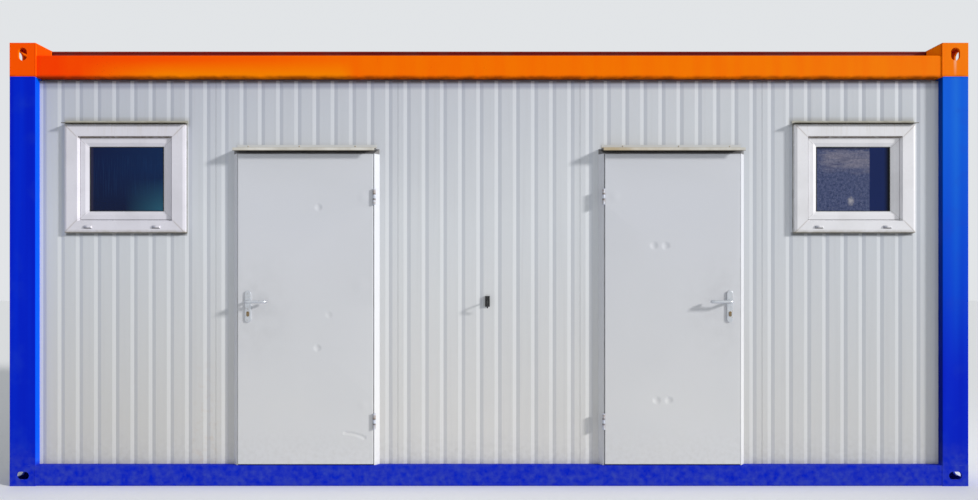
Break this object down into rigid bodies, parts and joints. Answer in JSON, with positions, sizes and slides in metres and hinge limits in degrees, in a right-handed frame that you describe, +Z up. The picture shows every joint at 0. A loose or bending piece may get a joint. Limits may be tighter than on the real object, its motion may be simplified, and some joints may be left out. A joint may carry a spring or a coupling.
{
  "type": "toilet container",
  "caption": "Steel-framed toilet container with lined sandwich walls, hinged doors with levers under rain caps, small high windows and slotted roof corners.",
  "frame": {"origin": "centre of the footprint between the post faces, on the ground", "axes": "+X to the right along the long front, +Y from the front with the doors to the rear, +Z up"},
  "size_m": [6.058, 2.4975, 2.8],
  "materials": {
    "blue_paint": "strong blue gloss paint on rolled steel, faded and scuffed",
    "orange_paint": "orange gloss paint on rolled steel, brushed on unevenly",
    "roof_red_paint": "dark red primer paint on roof sheet",
    "wall_paint": "grey-white coated steel sheet with fine lining, rain-streaked",
    "door_paint": "grey-white coated steel sheet, a little dented",
    "cap_sheet": "folded white sheet with grey-brown dirt",
    "window_plastic": "white window plastic",
    "window_glass": "double pane, dusty on one side",
    "handle_aluminium": "satin aluminium with brown stains",
    "hinge_steel": "grey-white painted steel",
    "black_steel": "black paint on steel",
    "floor_covering": "grey speckled floor covering",
    "ceiling_board": "white faced board"
  },
  "bodies": {
    "container": {"base_rail_front": "blue_paint", "base_rail_rear": "blue_paint", "base_rails_ends": "blue_paint", "base_corners": "blue_paint", "posts_front": "blue_paint", "posts_rear": "blue_paint", "roof_rail_front": "orange_paint", "roof_rail_rear": "orange_paint", "roof_rails_ends": "orange_paint", "roof_corners": "orange_paint", "roof_sheet": "roof_red_paint", "ceiling": "ceiling_board", "floor_beams": "blue_paint", "floor_board": "floor_covering", "door_hinge_pins": "hinge_steel", "door_caps": "cap_sheet", "hold_open_hook": "black_steel", "window_glass": "window_glass", "window_drip_caps": "cap_sheet", "front_window_panel_left": "wall_paint", "front_door_panel_left_outer": "wall_paint", "front_door_panel_left_inner": "wall_paint", "front_door_panel_left_head": "wall_paint", "front_window_panel_right": "wall_paint", "front_door_panel_right_outer": "wall_paint", "front_door_panel_right_inner": "wall_paint", "front_door_panel_right_head": "wall_paint", "front_middle_panel": "wall_paint", "rear_wall": "wall_paint", "left_wall": "wall_paint", "right_wall": "wall_paint", "door_left_frame": "door_paint", "window_left_frame": "window_plastic", "window_left_sash": "window_plastic", "door_right_frame": "door_paint", "window_right_frame": "window_plastic", "window_right_sash": "window_plastic"},
    "door_left": {"door_left_leaf": "door_paint", "door_left_hinge_wings": "hinge_steel", "door_left_lock_plates": "handle_aluminium"},
    "lever_left": {"door_left_levers": "handle_aluminium"},
    "door_right": {"door_right_leaf": "door_paint", "door_right_hinge_wings": "hinge_steel", "door_right_lock_plates": "handle_aluminium"},
    "lever_right": {"door_right_levers": "handle_aluminium"}
  },
  "joints": [
    {"name": "door_left_hinge", "type": "hinge", "parent": "container", "child": "door_left", "pos_m": [-0.7235, -1.222, 1.1185], "axis": [0, 0, 1], "range_deg": [0, 145]},
    {"name": "door_right_hinge", "type": "hinge", "parent": "container", "child": "door_right", "pos_m": [0.7235, -1.222, 1.1185], "axis": [0, 0, -1], "range_deg": [0, 145]},
    {"name": "lever_left_turn", "type": "hinge", "parent": "door_left", "child": "lever_left", "pos_m": [-1.5205, -1.197, 1.166], "axis": [0, 1, 0], "range_deg": [0, 40], "stiffness_Nm_per_rad": 1, "springref_deg": -34.38},
    {"name": "lever_right_turn", "type": "hinge", "parent": "door_right", "child": "lever_right", "pos_m": [1.5205, -1.197, 1.166], "axis": [0, -1, 0], "range_deg": [0, 40], "stiffness_Nm_per_rad": 1, "springref_deg": -34.38}
  ]
}
